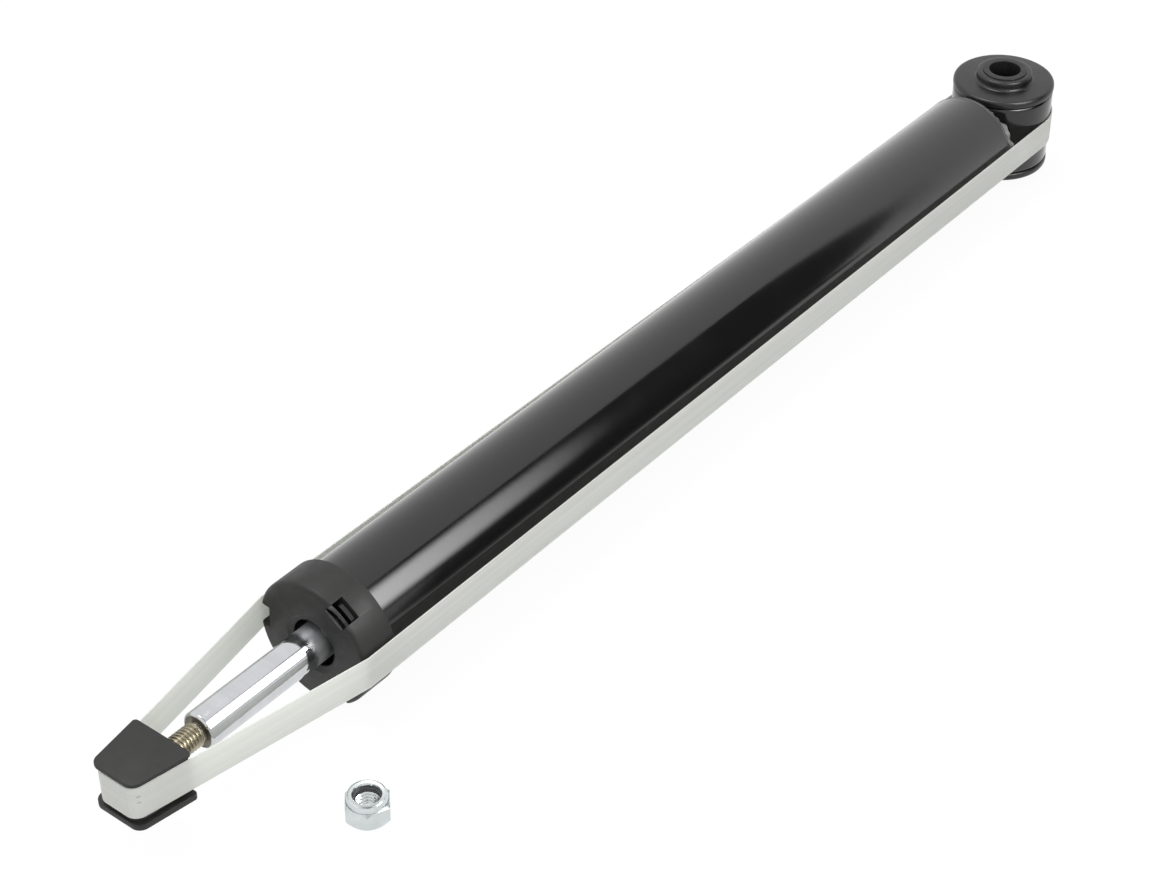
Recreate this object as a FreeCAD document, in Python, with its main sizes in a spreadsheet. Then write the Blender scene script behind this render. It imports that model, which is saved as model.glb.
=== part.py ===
import FreeCAD, Part
import math
import os
import re
import Sketcher

# Gas shock absorber with a lower eye, an upper threaded stud, a transit strap and a loose locking nut.
# Millimetres. Origin: centre of the eye's bolt bore. +X runs along the tube to the rod, +Z along the bore.
SIZES = {
    # lower eye
    "eye_ring_od": 38.8,
    "eye_ring_wall": 3.0,
    "eye_ring_length": 29.0,
    "bolt_bore": 12.2,
    "sleeve_od": 17.0,
    "sleeve_length": 43.4,
    "sleeve_fit": 0.05,
    "flange_lip": 0.2,
    "flange_thick": 3.2,
    "flange_round": 1.2,
    "collar_od": 21.4,
    "collar_short": 0.5,
    "collar_step": 1.4,
    # tube and its closed end
    "eye_gap": 3.2,
    "tube_od": 38.2,
    "tube_wall": 1.5,
    "tube_length": 368.4,
    "rim_roll": 2.2,
    "end_round": 1.2,
    "base_length": 9.0,
    "base_dish": 2.0,
    "base_dish_od": 21.0,
    "boss_od": 22.0,
    "weld_leg": 2.4,
    "weld_throat": 1.7,
    "weld_toe": 1.0,
    "weld_gap": 0.05,
    # gas chamber and its floating piston
    "gas_length": 30.4,
    "gas_piston_length": 16.0,
    "gas_piston_cup": 8.0,
    "gas_piston_wall": 4.0,
    "running_fit": 0.05,
    "piston_gap": 0.4,
    "oring_section": 2.2,
    "oring_groove": 3.6,
    "oring_groove_depth": 2.4,
    "oring_margin": 4.8,
    "band_length": 5.0,
    "band_thick": 1.6,
    "band_margin": 2.4,
    # piston rod
    "rod_dia": 12.5,
    "rod_length": 297.0,
    "rod_exposed": 48.2,
    "shoulder_chamfer": 1.4,
    "spigot_dia": 9.8,
    "stud_dia": 8.0,
    "stud_length": 27.0,
    "stud_neck": 0.8,
    "stud_neck_dia": 6.6,
    "seat_fit": 0.02,
    # damping piston on the rod
    "washer_od": 22.0,
    "washer_thick": 2.0,
    "shim_od": 25.0,
    "shim_thick": 1.5,
    "piston_length": 14.0,
    "port_dia": 4.0,
    "port_circle": 18.0,
    "nut_flats": 17.0,
    "piston_nut_length": 8.0,
    "spigot_tip": 1.0,
    # rebound stop
    "stop_space": 5.0,
    "stop_length": 5.0,
    "stop_od": 22.0,
    "bumper_length": 8.0,
    "bumper_od": 25.0,
    "bumper_gap": 0.15,
    # rod guide at the tube's open end
    "guide_length": 22.0,
    "guide_fit": 0.05,
    "guide_bush_length": 12.0,
    "guide_bush_wall": 1.2,
    "seal_length": 5.0,
    "seal_lip": 2.0,
    "seal_lip_length": 3.0,
    "garter_section": 1.2,
    "retainer_thick": 2.4,
    "retainer_bore": 20.0,
    "guide_relief": 1.5,
    "guide_groove": 8.8,
    # bump cap
    "cap_wall": 2.5,
    "cap_length": 14.0,
    "cap_overhang": 4.8,
    "cap_fit": 0.1,
    "cap_plate": 2.2,
    "cap_edge": 1.6,
    "cap_edge_length": 1.1,
    "cap_hole": 16.5,
    "cap_recess_od": 20.5,
    "cap_recess_depth": 0.9,
    "window_width": 8.0,
    "window_length": 5.5,
    "window_depth": 4.0,
    "window_angle": 34.0,
    # transit shoe and strap
    "stud_shown": 12.8,
    "shoe_length": 20.6,
    "shoe_back_width": 23.2,
    "shoe_front_width": 16.8,
    "shoe_corner": 3.5,
    "shoe_back_corner": 1.2,
    "shoe_relief": 0.8,
    "shoe_plate": 2.1,
    "shoe_lid": 1.2,
    "shoe_fit": 0.15,
    "strap_width": 12.0,
    "strap_thick": 0.9,
    "strap_play": 0.15,
    "strap_bend": 2.0,
    "strap_tilt": 0.13,
    # loose locking nut
    "nut_along": 422.9,
    "nut_across": 45.9,
    "nut_turn": 42.5,
    "lock_nut_flats": 13.0,
    "lock_nut_hex": 6.4,
    "lock_nut_height": 8.6,
    "lock_nut_collar": 12.0,
    "lock_nut_mouth": 8.6,
    "lock_nut_bore": 6.8,
    "insert_bore": 7.4,
    "insert_thick": 1.6,
}

# Places and sizes that follow from the driving ones.
DERIVED = {
    "bore_r": "tube_od / 2 - tube_wall",
    "ring_half": "eye_ring_length / 2",
    "ring_bore_r": "eye_ring_od / 2 - eye_ring_wall",
    "flange_r": "eye_ring_od / 2 + flange_lip",
    "flange_top": "ring_half + flange_thick",
    "collar_top": "sleeve_length / 2 - collar_short",
    "tube_start": "eye_ring_od / 2 + eye_gap",
    "tube_end": "tube_start + tube_length",
    "base_face": "tube_start + base_length",
    "gas_back": "base_face + gas_length",
    "gas_front": "gas_back + gas_piston_length",
    "gas_r": "bore_r - piston_gap",
    "gas_groove": "gas_front - oring_margin",
    "gas_band": "gas_back + band_margin",
    "oring_r": "bore_r - running_fit - oring_section / 2",
    "oring_floor_r": "bore_r - oring_groove_depth",
    "band_r": "bore_r - running_fit - band_thick",
    "cap_front": "tube_end + cap_overhang",
    "cap_start": "cap_front - cap_length",
    "cap_bore_r": "tube_od / 2 + cap_fit",
    "cap_r": "cap_bore_r + cap_wall",
    "shoulder": "cap_front + rod_exposed",
    "seat": "shoulder - rod_length",
    "washer_front": "seat - washer_thick",
    "piston_front": "washer_front - shim_thick",
    "piston_back": "piston_front - piston_length",
    "shim_back": "piston_back - shim_thick",
    "washer_back": "shim_back - washer_thick",
    "nut_back": "washer_back - piston_nut_length",
    "spigot_end": "nut_back - spigot_tip",
    "spigot_hole_r": "spigot_dia / 2 + seat_fit",
    "band_middle": "(piston_front + piston_back) / 2",
    "stop_back": "seat + stop_space",
    "stop_front": "stop_back + stop_length",
    "bumper_front": "stop_front + bumper_length",
    "retainer_front": "tube_end - rim_roll",
    "retainer_back": "retainer_front - retainer_thick",
    "seal_back": "retainer_back - seal_length",
    "guide_back": "seal_back - guide_length",
    "guide_r": "bore_r - guide_fit",
    "guide_oring_at": "seal_back - guide_groove",
    "bush_r": "rod_dia / 2 + running_fit + guide_bush_wall",
    "stud_end": "shoulder + stud_length",
    "shoe_back": "shoulder + stud_shown",
    "shoe_front": "shoe_back + shoe_length",
    "shoe_low": "0 - strap_width / 2 - strap_play",
    "shoe_high": "strap_width / 2 + strap_play + shoe_front * tan(strap_tilt)",
    "floor_z": "0 - sleeve_length / 2",
}

WORD = re.compile(r"[a-z][a-z_]*")

doc = FreeCAD.newDocument("gas_shock")
sheet = doc.addObject("Spreadsheet::Sheet", "sizes")
for row, (name, number) in enumerate(SIZES.items(), start=1):
    sheet.set("A%d" % row, name)
    sheet.set("B%d" % row, str(number))
    sheet.setAlias("B%d" % row, name)
doc.recompute()

pieces = []


def bound(text):
    """The expression with every name written out down to the sheet's cells."""
    def written(match):
        word = match.group()
        if word in DERIVED:
            return "(%s)" % bound(DERIVED[word])
        return "sizes.%s" % word if word in SIZES else word
    return WORD.sub(written, text)


def size(text):
    return float(sheet.evalExpression(bound(text)))


def plane(body, role):
    return [feature for feature in body.Origin.OriginFeatures if feature.Role == role][0]


def new_body(label):
    body = doc.addObject("PartDesign::Body", label)
    body.Label = label
    pieces.append(body)
    return body


def polygon(body, role, points, lift=None):
    """A closed sketch whose corners are bound to the sheet; lift raises its plane."""
    sketch = body.newObject("Sketcher::SketchObject", body.Label + "_sketch")
    sketch.AttachmentSupport = [(plane(body, role), "")]
    sketch.MapMode = "FlatFace"
    if lift:
        sketch.setExpression("AttachmentOffset.Base.z", bound(lift))
    spots = [FreeCAD.Vector(size(a), size(b), 0) for a, b in points]
    last = len(spots)
    for index in range(last):
        sketch.addGeometry(Part.LineSegment(spots[index], spots[(index + 1) % last]))
    for index in range(last):
        sketch.addConstraint(Sketcher.Constraint("Coincident", index, 2, (index + 1) % last, 1))
    for index, (a, b) in enumerate(points):
        for kind, text, value in (("DistanceX", a, spots[index].x), ("DistanceY", b, spots[index].y)):
            number = sketch.addConstraint(Sketcher.Constraint(kind, -1, 1, index, 1, value))
            sketch.setExpression("Constraints[%d]" % number, bound(text))
    return sketch


def turn(body, points, axis="X", kind="Revolution"):
    """Revolves a profile of (along, radius) corners about the body's X or Z axis."""
    role = "XY_Plane" if axis == "X" else "XZ_Plane"
    corners = points if axis == "X" else [(radius, along) for along, radius in points]
    sketch = polygon(body, role, corners)
    feature = body.newObject("PartDesign::" + kind, body.Label + "_" + kind.lower())
    feature.Profile = sketch
    feature.ReferenceAxis = (sketch, ["H_Axis" if axis == "X" else "V_Axis"])
    feature.Angle = 360.0
    return feature


def ring(label, back, front, inner, outer, axis="X"):
    """A plain turned ring between two stations."""
    body = new_body(label)
    turn(body, [(back, inner), (front, inner), (front, outer), (back, outer)], axis)
    return body


def pad(body, sketch, length, midplane=False, backwards=False):
    feature = body.newObject("PartDesign::Pad", body.Label + "_pad")
    feature.Profile = sketch
    feature.setExpression("Length", bound(length))
    feature.SideType = "Symmetric" if midplane else "One side"
    feature.Reversed = backwards
    return feature


def hole_row(body, role, centre, diameter, lift, depth, count):
    """Round holes on a circle, cut by one pocket and a polar pattern about X."""
    sketch = body.newObject("Sketcher::SketchObject", body.Label + "_holes")
    sketch.AttachmentSupport = [(plane(body, role), "")]
    sketch.MapMode = "FlatFace"
    sketch.setExpression("AttachmentOffset.Base.z", bound(lift))
    spot = FreeCAD.Vector(size(centre), 0, 0)
    sketch.addGeometry(Part.Circle(spot, FreeCAD.Vector(0, 0, 1), size(diameter) / 2))
    sketch.addConstraint(Sketcher.Constraint("PointOnObject", 0, 3, -1))
    for kind, text, args in (("DistanceX", centre, (-1, 1, 0, 3)), ("Diameter", diameter, (0,))):
        number = sketch.addConstraint(Sketcher.Constraint(kind, *args, size(text)))
        sketch.setExpression("Constraints[%d]" % number, bound(text))
    pocket = body.newObject("PartDesign::Pocket", body.Label + "_pocket")
    pocket.Profile = sketch
    pocket.setExpression("Length", bound(depth))
    return repeat(body, pocket, count)


def repeat(body, feature, count):
    pattern = body.newObject("PartDesign::PolarPattern", body.Label + "_pattern")
    pattern.Originals = [feature]
    pattern.Axis = (plane(body, "X_Axis"), [""])
    pattern.Angle = 360.0
    pattern.Occurrences = count
    body.Tip = pattern
    return pattern


def bound_part(kind, name, **texts):
    """A Part primitive with its properties bound to the sheet."""
    thing = doc.addObject("Part::" + kind, name)
    for prop, text in texts.items():
        thing.setExpression(prop, bound(text))
    return thing


def eye():
    ring("eye_ring", "0 - ring_half", "ring_half", "ring_bore_r", "eye_ring_od / 2", "Z")
    ring("bush_sleeve", "0 - sleeve_length / 2", "sleeve_length / 2", "bolt_bore / 2", "sleeve_od / 2", "Z")
    rubber = new_body("bush_rubber")
    inner = "sleeve_od / 2 + sleeve_fit"
    outer = "ring_bore_r - weld_gap"
    upper = [
        ("ring_half + weld_gap", outer),
        ("ring_half + weld_gap", "flange_r - flange_round / 2"),
        ("ring_half + flange_round", "flange_r"),
        ("flange_top - flange_round", "flange_r"),
        ("flange_top - flange_round / 3", "flange_r - flange_round / 3"),
        ("flange_top", "flange_r - flange_round"),
        ("flange_top", "collar_od / 2 + collar_step"),
        ("flange_top + collar_step", "collar_od / 2"),
        ("collar_top - collar_step / 2", "collar_od / 2"),
        ("collar_top", "collar_od / 2 - collar_step / 2"),
        ("collar_top", inner),
    ]
    lower = [("0 - (%s)" % along, radius) for along, radius in reversed(upper)]
    turn(rubber, upper + lower, "Z")


def tube():
    body = new_body("body_tube")
    outer = "tube_od / 2"
    turn(body, [
        ("tube_start", "bore_r"),
        ("tube_start", "tube_od / 2 - end_round / 2"),
        ("tube_start + end_round / 2", outer),
        ("tube_end - tube_wall", outer),
        ("tube_end", "tube_od / 2 - tube_wall"),
        ("tube_end", "bore_r - rim_roll"),
        ("tube_end - tube_wall", "bore_r - rim_roll"),
        ("retainer_front", "bore_r"),
    ])
    closed = new_body("base_cap")
    turn(closed, [
        ("eye_ring_od / 2 - eye_gap", "0"),
        ("base_face - base_dish", "0"),
        ("base_face", "base_dish_od / 2"),
        ("base_face", "bore_r - weld_gap"),
        ("tube_start + weld_gap", "bore_r - weld_gap"),
        ("tube_start", "boss_od / 2"),
        ("eye_ring_od / 2 - eye_gap", "boss_od / 2"),
    ])
    saddle_cut(closed)
    weld = new_body("eye_weld")
    turn(weld, [
        ("eye_ring_od / 2 - eye_gap * 2", "boss_od / 2 + weld_gap"),
        ("tube_start - weld_gap", "boss_od / 2 + weld_gap"),
        ("tube_start - weld_gap", "boss_od / 2 + weld_toe"),
        ("tube_start - weld_toe", "boss_od / 2 + weld_throat"),
        ("eye_ring_od / 2 - eye_gap * 2", "boss_od / 2 + weld_leg"),
    ])
    saddle_cut(weld)


def saddle_cut(body):
    """Takes the eye ring's round out of a piece that is welded to it."""
    sketch = body.newObject("Sketcher::SketchObject", body.Label + "_saddle")
    sketch.AttachmentSupport = [(plane(body, "XY_Plane"), "")]
    sketch.MapMode = "FlatFace"
    radius = "eye_ring_od / 2 + weld_gap"
    sketch.addGeometry(Part.Circle(FreeCAD.Vector(0, 0, 0), FreeCAD.Vector(0, 0, 1), size(radius)))
    sketch.addConstraint(Sketcher.Constraint("Coincident", 0, 3, -1, 1))
    number = sketch.addConstraint(Sketcher.Constraint("Radius", 0, size(radius)))
    sketch.setExpression("Constraints[%d]" % number, bound(radius))
    pocket = body.newObject("PartDesign::Pocket", body.Label + "_pocket")
    pocket.Profile = sketch
    pocket.SideType = "Symmetric"
    pocket.setExpression("Length", bound("eye_ring_od * 2"))


def gas_piston():
    body = new_body("gas_piston")
    turn(body, [
        ("gas_back + gas_piston_cup", "0"),
        ("gas_front", "0"),
        ("gas_front", "gas_r"),
        ("gas_groove + oring_groove / 2", "gas_r"),
        ("gas_groove + oring_groove / 2", "oring_floor_r"),
        ("gas_groove - oring_groove / 2", "oring_floor_r"),
        ("gas_groove - oring_groove / 2", "gas_r"),
        ("gas_band + band_length", "gas_r"),
        ("gas_band + band_length", "band_r - weld_gap"),
        ("gas_band", "band_r - weld_gap"),
        ("gas_band", "gas_r"),
        ("gas_back", "gas_r"),
        ("gas_back", "gas_r - gas_piston_wall"),
        ("gas_back + gas_piston_cup", "gas_r - gas_piston_wall"),
    ])
    round_ring("gas_piston_oring", "gas_groove", "oring_r", "oring_section / 2")
    ring("gas_piston_band", "gas_band + weld_gap", "gas_band + band_length - weld_gap", "band_r", "bore_r - running_fit")


def round_ring(label, station, radius, section):
    """A torus about X, as an O-ring or a garter spring."""
    torus = bound_part("Torus", label, Radius1=radius, Radius2=section)
    torus.setExpression("Placement.Base.x", bound(station))
    torus.Placement.Rotation = FreeCAD.Rotation(FreeCAD.Vector(0, 1, 0), 90)
    torus.Label = label
    pieces.append(torus)


def rod():
    body = new_body("piston_rod")
    turn(body, [
        ("spigot_end", "0"),
        ("stud_end", "0"),
        ("stud_end", "stud_dia / 2 - spigot_tip"),
        ("stud_end - spigot_tip", "stud_dia / 2"),
        ("shoulder + stud_neck", "stud_dia / 2"),
        ("shoulder + stud_neck", "stud_neck_dia / 2"),
        ("shoulder", "stud_neck_dia / 2"),
        ("shoulder", "rod_dia / 2 - shoulder_chamfer"),
        ("shoulder - shoulder_chamfer", "rod_dia / 2"),
        ("seat", "rod_dia / 2"),
        ("seat", "spigot_dia / 2"),
        ("spigot_end + spigot_tip", "spigot_dia / 2"),
        ("spigot_end", "spigot_dia / 2 - spigot_tip"),
    ])
    stop_r = "rod_dia / 2 + seat_fit"
    ring("rebound_stop", "stop_back", "stop_front", stop_r, "stop_od / 2")
    bumper = new_body("rebound_bumper")
    bumper_r = "rod_dia / 2 + bumper_gap"
    turn(bumper, [
        ("stop_front", bumper_r),
        ("bumper_front", bumper_r),
        ("bumper_front", "bumper_od / 2 - bumper_length / 3"),
        ("bumper_front - bumper_length / 3", "bumper_od / 2"),
        ("stop_front", "bumper_od / 2"),
    ])


def piston():
    ring("compression_washer", "washer_front", "seat", "spigot_hole_r", "washer_od / 2")
    ring("compression_shims", "piston_front", "washer_front", "spigot_hole_r", "shim_od / 2")
    body = new_body("piston")
    turn(body, [
        ("piston_back", "spigot_hole_r"),
        ("piston_front", "spigot_hole_r"),
        ("piston_front", "gas_r"),
        ("band_middle + band_length / 2", "gas_r"),
        ("band_middle + band_length / 2", "band_r - weld_gap"),
        ("band_middle - band_length / 2", "band_r - weld_gap"),
        ("band_middle - band_length / 2", "gas_r"),
        ("piston_back", "gas_r"),
    ])
    hole_row(body, "YZ_Plane", "port_circle / 2", "port_dia", "piston_front", "piston_length", 6)
    ring("piston_band", "band_middle - band_length / 2 + weld_gap", "band_middle + band_length / 2 - weld_gap",
         "band_r", "bore_r - running_fit")
    ring("rebound_shims", "shim_back", "piston_back", "spigot_hole_r", "shim_od / 2")
    ring("rebound_washer", "washer_back", "shim_back", "spigot_hole_r", "washer_od / 2")
    nut("piston_nut", "nut_flats", "piston_nut_length", "spigot_dia + seat_fit * 2", "nut_back")


def nut(label, flats, height, bore, station):
    """A plain hexagon nut along X."""
    hexagon = bound_part("Prism", label + "_hexagon", Circumradius="(%s) / sqrt(3)" % flats, Height=height)
    hexagon.Polygon = 6
    drill = bound_part("Cylinder", label + "_drill", Radius="(%s) / 2" % bore, Height=height)
    cut = doc.addObject("Part::Cut", label)
    cut.Base = hexagon
    cut.Tool = drill
    cut.Label = label
    cut.setExpression("Placement.Base.x", bound(station))
    cut.Placement.Rotation = FreeCAD.Rotation(FreeCAD.Vector(0, 1, 0), 90)
    pieces.append(cut)


def rod_guide():
    body = new_body("rod_guide")
    through = "rod_dia / 2 + guide_relief"
    turn(body, [
        ("guide_back", "bush_r + seat_fit"),
        ("guide_back + guide_bush_length", "bush_r + seat_fit"),
        ("guide_back + guide_bush_length", through),
        ("seal_back", through),
        ("seal_back", "guide_r"),
        ("guide_oring_at + oring_groove / 2", "guide_r"),
        ("guide_oring_at + oring_groove / 2", "oring_floor_r"),
        ("guide_oring_at - oring_groove / 2", "oring_floor_r"),
        ("guide_oring_at - oring_groove / 2", "guide_r"),
        ("guide_back + guide_relief", "guide_r"),
        ("guide_back", "guide_r - guide_relief"),
    ])
    round_ring("guide_oring", "guide_oring_at", "oring_r", "oring_section / 2")
    ring("guide_bush", "guide_back", "guide_back + guide_bush_length", "rod_dia / 2 + running_fit", "bush_r")
    seal = new_body("rod_seal")
    garter_r = "rod_dia / 2 + seal_lip + garter_section"
    turn(seal, [
        ("seal_back", "rod_dia / 2 + running_fit"),
        ("seal_back + seal_lip_length", "rod_dia / 2 + running_fit"),
        ("seal_back + seal_lip_length", "rod_dia / 2 + seal_lip"),
        ("retainer_back", "rod_dia / 2 + seal_lip"),
        ("retainer_back", "guide_r"),
        ("seal_back", "guide_r"),
        ("seal_back", garter_r + " + garter_section"),
        ("seal_back + garter_section * 2", garter_r + " + garter_section"),
        ("seal_back + garter_section * 2", garter_r + " - garter_section / 2 - weld_gap"),
        ("seal_back", garter_r + " - garter_section / 2 - weld_gap"),
    ])
    round_ring("seal_spring", "seal_back + garter_section", garter_r, "garter_section / 2")
    ring("retaining_ring", "retainer_back", "retainer_front", "retainer_bore / 2", "guide_r")


def bump_cap():
    body = new_body("bump_cap")
    inside = "cap_front - cap_plate"
    recess = "cap_front - cap_recess_depth"
    turn(body, [
        ("cap_start", "cap_bore_r"),
        (inside, "cap_bore_r"),
        (inside, "cap_hole / 2"),
        (recess, "cap_hole / 2"),
        ("cap_front", "cap_recess_od / 2"),
        ("cap_front", "cap_r - cap_edge"),
        ("cap_front - cap_edge_length", "cap_r"),
        ("cap_start", "cap_r"),
    ])
    inner = "cap_r - window_depth"
    sketch = polygon(body, "YZ_Plane", [
        ("0 - window_width / 2", inner),
        ("window_width / 2", inner),
        ("window_width / 2", "cap_r * 2"),
        ("0 - window_width / 2", "cap_r * 2"),
    ], "cap_front")
    pocket = body.newObject("PartDesign::Pocket", "bump_cap_window")
    pocket.Profile = sketch
    pocket.setExpression("Length", bound("window_length"))
    repeat(body, pocket, 3)
    body.Placement.Rotation = FreeCAD.Rotation(FreeCAD.Vector(1, 0, 0), 0)
    body.setExpression("Placement.Rotation.Angle", bound("0 - window_angle"))


def shoe_outline(inset, relief="0"):
    """Plan of the shoe: wide at the back, narrow at the front, drawn in at the sides and front, more at the back."""
    front = "shoe_front - (%s)" % inset
    back_half = "shoe_back_width / 2 - (%s) - (%s)" % (inset, relief)
    front_half = "shoe_front_width / 2 - (%s)" % inset
    return [
        ("shoe_back", "0 - (%s)" % back_half),
        (front, "0 - (%s)" % front_half),
        (front, front_half),
        ("shoe_back", back_half),
    ]


def transit_shoe():
    body = new_body("transit_shoe")
    inset = "strap_thick + strap_play"
    bottom = "shoe_low - shoe_plate"
    core = polygon(body, "XY_Plane", shoe_outline(inset, "shoe_relief"), bottom)
    pad(body, core, "shoe_high + shoe_lid - (%s)" % bottom)
    round_corners(body, "shoe_front - (%s) * 2" % inset, "0", "shoe_corner")
    pad(body, polygon(body, "XY_Plane", shoe_outline("0"), "shoe_high"), "shoe_lid")
    pad(body, polygon(body, "XY_Plane", shoe_outline("0"), bottom), "shoe_plate")
    round_corners(body, "shoe_front - (%s) / 2" % inset, "0", "shoe_corner")
    round_corners(body, "shoe_back - (%s)" % inset, "shoe_back_width / 2 - strap_play", "shoe_back_corner")
    stud_r = "stud_dia / 2 + shoe_fit"
    turn(body, [
        ("shoe_back - strap_thick", "0"),
        ("stud_end + shoe_fit", "0"),
        ("stud_end + shoe_fit", stud_r),
        ("shoe_back - strap_thick", stud_r),
    ], "X", "Groove")


def round_corners(body, beyond, outside, radius):
    """Rounds the edges along Z that lie further along X and further from the middle than the given places."""
    doc.recompute()
    base = body.Tip
    found = []
    for index, edge in enumerate(base.Shape.Edges, start=1):
        box = edge.BoundBox
        upright = max(box.XLength, box.YLength) < size("seat_fit")
        if upright and box.XMin > size(beyond) and abs(box.YMin) > size(outside):
            found.append("Edge%d" % index)
    rounded = body.newObject("PartDesign::Fillet", body.Label + "_fillet")
    rounded.Base = (base, found)
    rounded.setExpression("Radius", bound(radius))


def touch(circle, following):
    """Angle at which a band leaves one circle for the next, each turn to the left."""
    (x, y, r), (next_x, next_y, next_r) = circle, following
    reach = math.hypot(next_x - x, next_y - y)
    return math.atan2(next_y - y, next_x - x) - math.acos((r - next_r) / reach)


def taut(circles):
    """Leaves out the circles that a tight band passes without touching."""
    kept = list(circles)
    for circle in circles:
        index = kept.index(circle)
        before, after = kept[index - 1], kept[(index + 1) % len(kept)]
        angle = touch(before, after)
        far, line = [x * math.cos(angle) + y * math.sin(angle) + r for x, y, r in (circle, before)]
        if far <= line:
            kept.remove(circle)
    return kept


def belt(circles):
    """Closed outline of a band laid round circles (x, y, radius), given in order with each turn to the left."""
    count = len(circles)
    touches = [touch(circles[index], circles[(index + 1) % count]) for index in range(count)]
    edges = []
    for index in range(count):
        x, y, r = circles[index]
        start, end = touches[index - 1], touches[index]
        while end < start:
            end += 2 * math.pi
        spots = [on_circle(x, y, r, angle) for angle in (start, (start + end) / 2, end)]
        edges.append(Part.Arc(*spots).toShape())
        edges.append(Part.LineSegment(spots[2], on_circle(*circles[(index + 1) % count], end)).toShape())
    return Part.Wire(edges)


def on_circle(x, y, radius, angle):
    return FreeCAD.Vector(x + radius * math.cos(angle), y + radius * math.sin(angle), 0)


def transit_strap():
    """A tight flat band round the eye, the tube's end, the bump cap's corners and the shoe's front."""
    bend = size("strap_bend")
    play = size("strap_play")
    cap_x = size("cap_front - cap_edge")
    cap_y = size("cap_r") - bend
    tube_x = size("tube_start") + bend
    tube_y = size("tube_od / 2") - bend
    corner = size("shoe_corner")
    core_length = size("shoe_length - strap_thick - strap_play")
    core_half = size("shoe_front_width / 2 - strap_thick - strap_play")
    slope = size("(shoe_back_width - shoe_front_width) / 2 - shoe_relief") / core_length
    shoe_x = size("shoe_back") + core_length - corner
    shoe_y = core_half + corner * (slope - math.hypot(1, slope))
    route = taut([
        (0.0, 0.0, size("eye_ring_od / 2")),
        (tube_x, -tube_y, bend),
        (cap_x, -cap_y, bend),
        (shoe_x, -shoe_y, corner),
        (shoe_x, shoe_y, corner),
        (cap_x, cap_y, bend),
        (tube_x, tube_y, bend),
    ])
    thick = size("strap_thick")
    inside = Part.Face(belt([(x, y, r + play) for x, y, r in route]))
    outside = Part.Face(belt([(x, y, r + play + thick) for x, y, r in route]))
    band = outside.cut(inside).extrude(FreeCAD.Vector(0, 0, size("strap_width")))
    strap = doc.addObject("Part::Feature", "transit_strap")
    strap.Shape = band.Solids[0]
    strap.Placement.Base.z = size("0 - strap_width / 2")
    strap.Placement.Rotation = FreeCAD.Rotation(FreeCAD.Vector(0, 1, 0), -size("strap_tilt"))
    strap.Label = "transit_strap"
    pieces.append(strap)


def lock_nut():
    """Hexagon with a round collar that grips a plastic locking ring."""
    body = new_body("lock_nut")
    hexagon = [(math.cos(math.radians(60 * step)), math.sin(math.radians(60 * step))) for step in range(6)]
    corner = "lock_nut_flats / sqrt(3)"
    pad(body, polygon(body, "XY_Plane", [("%s * %.9f" % (corner, a), "%s * %.9f" % (corner, b)) for a, b in hexagon]),
        "lock_nut_hex")
    insert_r = "lock_nut_collar / 2 - insert_thick / 2"
    turn(body, [
        ("lock_nut_hex - insert_thick / 2", "lock_nut_mouth / 2"),
        ("lock_nut_hex - insert_thick / 2", insert_r),
        ("lock_nut_hex + insert_thick / 2", insert_r),
        ("lock_nut_hex + insert_thick / 2", "lock_nut_mouth / 2"),
        ("lock_nut_height", "lock_nut_mouth / 2"),
        ("lock_nut_height", "lock_nut_collar / 2 - insert_thick / 2"),
        ("lock_nut_height - insert_thick / 2", "lock_nut_collar / 2"),
        ("lock_nut_hex - insert_thick", "lock_nut_collar / 2"),
        ("lock_nut_hex - insert_thick", "lock_nut_mouth / 2"),
    ], "Z")
    bore = [("0 - insert_thick", "lock_nut_bore / 2"), ("lock_nut_height", "lock_nut_bore / 2")]
    seat = [("lock_nut_hex - insert_thick / 2", insert_r), ("lock_nut_hex + insert_thick / 2", insert_r)]
    for (low, radius), (high, _) in (bore, seat):
        turn(body, [(low, "0"), (high, "0"), (high, radius), (low, radius)], "Z", "Groove")
    seat_nut(body)
    insert = ring("nut_insert", "lock_nut_hex - insert_thick / 2 + seat_fit", "lock_nut_hex + insert_thick / 2 - seat_fit",
                  "insert_bore / 2", insert_r + " - seat_fit", "Z")
    seat_nut(insert)


def seat_nut(body):
    for prop, text in (("Base.x", "nut_along"), ("Base.y", "nut_across"), ("Base.z", "floor_z")):
        body.setExpression("Placement." + prop, bound(text))
    body.Placement.Rotation = FreeCAD.Rotation(FreeCAD.Vector(0, 0, 1), 0)
    body.setExpression("Placement.Rotation.Angle", bound("nut_turn"))


def check():
    for thing in doc.Objects:
        if "Invalid" in thing.State or "Error" in thing.State:
            raise RuntimeError("failed: %s %s" % (thing.Label, thing.State))
    for piece in pieces:
        if piece.Shape.isNull() or not piece.Shape.isValid() or len(piece.Shape.Solids) != 1:
            raise RuntimeError("bad shape: %s" % piece.Label)


def main():
    for build in (eye, tube, gas_piston, rod, piston, rod_guide, bump_cap, transit_shoe, transit_strap, lock_nut):
        build()
    doc.recompute()
    check()
    os.makedirs("parts", exist_ok=True)
    for piece in pieces:
        piece.Shape.exportStep("parts/%s.step" % piece.Label)
        print(piece.Label, round(piece.Shape.Volume, 1))


main()
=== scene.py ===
import bmesh
import bpy
import math
from mathutils import Matrix, Vector


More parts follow.
